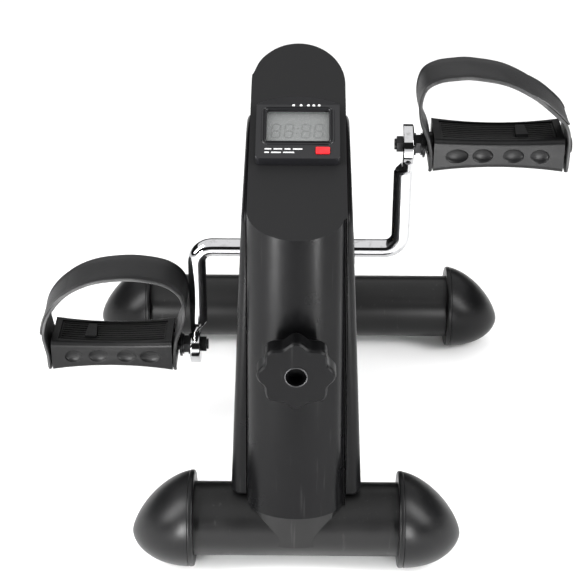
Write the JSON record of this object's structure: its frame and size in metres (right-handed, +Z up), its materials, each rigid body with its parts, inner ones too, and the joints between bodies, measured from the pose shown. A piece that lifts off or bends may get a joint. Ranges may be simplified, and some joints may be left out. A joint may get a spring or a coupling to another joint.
{
  "type": "pedal exerciser",
  "caption": "Free-standing pedal exerciser: bent chrome crank with strapped foot pedals on a black upright body, tension knob, small display and domed leg caps.",
  "frame": {"origin": "on the floor under the middle of the whole object's footprint", "axes": "+Z up, -Y towards the user (console and knob side), +X towards the user's right hand"},
  "size_m": [0.392, 0.3883, 0.3529],
  "materials": {
    "battery_wrap": "printed sleeve",
    "belt_web": "woven brake web",
    "black_steel": "black oxide",
    "board_green": "solder mask",
    "bush_bronze": "sintered",
    "bush_nylon": "nylon",
    "button_red": "red moulding",
    "cap_plastic": "matt moulded black",
    "chrome": "bright chrome plate",
    "console_plastic": "fine satin, near black",
    "cover_plastic": "satin moulded black",
    "drum_iron": "turned rim",
    "frame_paint": "satin black powder coat",
    "insert_brass": "turned",
    "lcd_glass": "grey green liquid crystal",
    "lens_clear": "clear acrylic",
    "pedal_plastic": "fine grained moulding",
    "sensor_plastic": "plain",
    "strap_rubber": "smooth soft rubber",
    "tread_rubber": "ribbed",
    "zinc_steel": "zinc plated"
  },
  "bodies": {
    "base": {"main_frame": "frame_paint", "front_leg_tube": "frame_paint", "rear_leg_tube": "frame_paint", "cap_front_left": "cap_plastic", "cap_front_right": "cap_plastic", "cap_rear_left": "cap_plastic", "cap_rear_right": "cap_plastic", "leg_bolts": "zinc_steel", "leg_nuts": "zinc_steel", "front_cover": "cover_plastic", "shell_left": "cover_plastic", "shell_right": "cover_plastic", "housing_screws": "black_steel", "bearing_left": "bush_bronze", "bearing_right": "bush_bronze", "reed_sensor": "sensor_plastic", "rod_guide": "bush_nylon", "rod_spring": "zinc_steel", "console_case": "console_plastic", "console_lens": "lens_clear", "lcd_panel": "lcd_glass", "circuit_board": "board_green", "battery": "battery_wrap", "battery_door": "console_plastic"},
    "crank_set": {"crank": "chrome", "friction_drum": "drum_iron", "speed_magnet": "zinc_steel", "axle_collars": "zinc_steel", "spindle_left": "black_steel", "spindle_nut_left": "black_steel", "end_nut_left": "zinc_steel", "spindle_right": "black_steel", "spindle_nut_right": "black_steel", "end_nut_right": "zinc_steel"},
    "knob": {"tension_knob": "cover_plastic", "knob_insert": "insert_brass"},
    "tension_slide": {"tension_rod": "zinc_steel", "belt_yoke": "zinc_steel", "brake_belt": "belt_web"},
    "button": {"reset_button": "button_red"},
    "pedal_body_left": {"pedal_left": "pedal_plastic", "treads_left": "tread_rubber", "pedal_bushes_left": "bush_nylon", "pedal_cap_left": "pedal_plastic"},
    "strap_body_left": {"strap_left": "strap_rubber"},
    "pedal_body_right": {"pedal_right": "pedal_plastic", "treads_right": "tread_rubber", "pedal_bushes_right": "bush_nylon", "pedal_cap_right": "pedal_plastic"},
    "strap_body_right": {"strap_right": "strap_rubber"}
  },
  "joints": [
    {"name": "crank_spin", "type": "hinge", "parent": "base", "child": "crank_set", "pos_m": [0, -0.021, 0.195], "axis": [1, 0, 0], "continuous": true},
    {"name": "knob_turn", "type": "hinge", "parent": "base", "child": "knob", "pos_m": [0, -0.185, 0.195], "axis": [0, 1, 0], "range_deg": [0, 810]},
    {"name": "tension_travel", "type": "slide", "parent": "base", "child": "tension_slide", "axis": [0, -1, 0], "range_m": [0, 0.0028], "deforming": ["rod_spring"]},
    {"name": "button_press", "type": "slide", "parent": "base", "child": "button", "axis": [0, 0.3843, -0.9232], "range_m": [0, 0.001], "stiffness_N_per_m": 300},
    {"name": "pedal_spin_right", "type": "hinge", "parent": "crank_set", "child": "pedal_body_right", "pos_m": [0.14, -0.021, 0.281], "axis": [1, 0, 0], "continuous": true},
    {"name": "strap_tilt_right", "type": "hinge", "parent": "pedal_body_right", "child": "strap_body_right", "pos_m": [0.14, -0.021, 0.281], "axis": [1, 0, 0], "range_deg": [-12, 12], "stiffness_Nm_per_rad": 0.5},
    {"name": "pedal_spin_left", "type": "hinge", "parent": "crank_set", "child": "pedal_body_left", "pos_m": [-0.14, -0.021, 0.109], "axis": [1, 0, 0], "continuous": true},
    {"name": "strap_tilt_left", "type": "hinge", "parent": "pedal_body_left", "child": "strap_body_left", "pos_m": [-0.14, -0.021, 0.109], "axis": [1, 0, 0], "range_deg": [-12, 12], "stiffness_Nm_per_rad": 0.5}
  ],
  "couplings": [
    {"joint": "knob_turn", "follows": "tension_travel", "rad_per_m": 5026.5}
  ]
}
